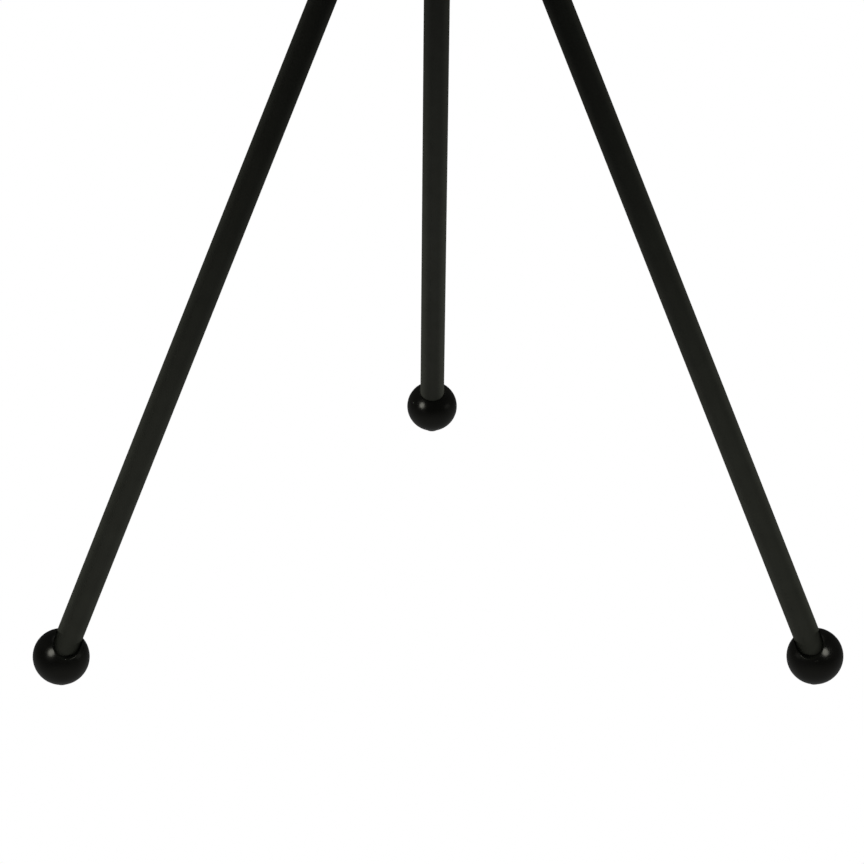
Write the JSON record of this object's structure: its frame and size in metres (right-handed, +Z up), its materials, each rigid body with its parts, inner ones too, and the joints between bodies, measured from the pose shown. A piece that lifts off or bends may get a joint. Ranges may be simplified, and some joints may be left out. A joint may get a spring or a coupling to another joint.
{
  "type": "tripod hunting stand",
  "caption": "Free-standing folding tripod rest: straight tube legs on ball feet, a hinged hub with a clamped sliding column, and a rubber-lined yoke that pans and tilts.",
  "frame": {"origin": "on the ground, in the middle of the bounding box of the stance; the stand's vertical axis is 76.5 mm in front of it, at -Y", "axes": "+Z up, the pair of front legs at -Y, the single rear leg at +Y, the yoke's arms at -X and +X and its tilt knob at +X"},
  "size_m": [0.5698, 0.4988, 0.846],
  "materials": {
    "tube_coat": "fine matte black powder coat on aluminium tube",
    "cast_coat": "matte black coat on cast aluminium",
    "strap_coat": "matte black powder coat on steel strap",
    "ball_gloss": "polished gloss black",
    "knob_plastic": "lightly textured black moulding",
    "rubber": "matte black rubber",
    "nylon": "natural nylon",
    "brass": "turned",
    "zinc_steel": "zinc plated",
    "black_steel": "black oxide"
  },
  "bodies": {
    "hub": {"hub": "cast_coat", "column_bush": "nylon", "clamp_shoe": "brass", "left_pivot_bolt": "black_steel", "left_pivot_nut": "zinc_steel", "left_pivot_washer_front": "nylon", "left_pivot_washer_back": "nylon", "right_pivot_bolt": "black_steel", "right_pivot_nut": "zinc_steel", "right_pivot_washer_front": "nylon", "right_pivot_washer_back": "nylon", "rear_pivot_bolt": "black_steel", "rear_pivot_nut": "zinc_steel", "rear_pivot_washer_front": "nylon", "rear_pivot_washer_back": "nylon"},
    "left_leg": {"left_leg_tube": "tube_coat", "left_leg_knuckle": "cast_coat", "left_foot_plug": "nylon", "left_foot_stud": "zinc_steel", "left_foot_insert": "brass", "left_foot_ball": "ball_gloss", "left_foot_pad": "rubber"},
    "right_leg": {"right_leg_tube": "tube_coat", "right_leg_knuckle": "cast_coat", "right_foot_plug": "nylon", "right_foot_stud": "zinc_steel", "right_foot_insert": "brass", "right_foot_ball": "ball_gloss", "right_foot_pad": "rubber"},
    "rear_leg": {"rear_leg_tube": "tube_coat", "rear_leg_knuckle": "cast_coat", "rear_foot_plug": "nylon", "rear_foot_stud": "zinc_steel", "rear_foot_insert": "brass", "rear_foot_ball": "ball_gloss", "rear_foot_pad": "rubber"},
    "column": {"column_tube": "tube_coat", "column_end_cap": "knob_plastic", "column_head": "cast_coat", "pan_washer": "nylon", "pan_nut": "zinc_steel"},
    "clamp": {"clamp_screw": "black_steel", "clamp_knob": "knob_plastic"},
    "pan_head": {"swivel_base": "cast_coat", "tilt_bolt": "black_steel", "tilt_washer_left": "nylon", "tilt_washer_right": "nylon", "tilt_knob_washer": "zinc_steel"},
    "pan_lock": {"pan_lock_screw": "black_steel"},
    "tilt_knob": {"tilt_knob": "knob_plastic"},
    "yoke": {"tilt_block": "cast_coat", "yoke_frame": "strap_coat", "yoke_liner": "rubber", "yoke_screw_left": "zinc_steel", "yoke_screw_right": "zinc_steel", "left_rivet_1": "black_steel", "left_rivet_2": "black_steel", "right_rivet_1": "black_steel", "right_rivet_2": "black_steel"}
  },
  "joints": [
    {"name": "left_leg_fold", "type": "hinge", "parent": "hub", "child": "left_leg", "pos_m": [-0.02944, -0.0935, 0.59066], "axis": [0.5, -0.866, 0], "range_deg": [0, 25.5]},
    {"name": "right_leg_fold", "type": "hinge", "parent": "hub", "child": "right_leg", "pos_m": [0.02944, -0.0935, 0.59066], "axis": [0.5, 0.866, 0], "range_deg": [0, 25.5]},
    {"name": "rear_leg_fold", "type": "hinge", "parent": "hub", "child": "rear_leg", "pos_m": [0, -0.0425, 0.59066], "axis": [-1, 0, 0], "range_deg": [0, 25.5]},
    {"name": "column_slide", "type": "slide", "parent": "hub", "child": "column", "axis": [0, 0, 1], "range_m": [-0.08, 0.095]},
    {"name": "clamp_turn", "type": "hinge", "parent": "hub", "child": "clamp", "pos_m": [0, -0.1215, 0.59866], "axis": [0, -1, 0], "range_deg": [0, 270]},
    {"name": "head_pan", "type": "hinge", "parent": "column", "child": "pan_head", "pos_m": [0, -0.0765, 0.7104], "axis": [0, 0, 1], "continuous": true},
    {"name": "pan_lock_turn", "type": "hinge", "parent": "pan_head", "child": "pan_lock", "pos_m": [0, -0.1015, 0.7174], "axis": [0, -1, 0], "range_deg": [0, 270]},
    {"name": "yoke_tilt", "type": "hinge", "parent": "pan_head", "child": "yoke", "pos_m": [0, -0.0765, 0.7484], "axis": [1, 0, 0], "range_deg": [-30, 30]},
    {"name": "tilt_knob_turn", "type": "hinge", "parent": "pan_head", "child": "tilt_knob", "pos_m": [0.022, -0.0765, 0.7484], "axis": [1, 0, 0], "range_deg": [0, 270]}
  ]
}
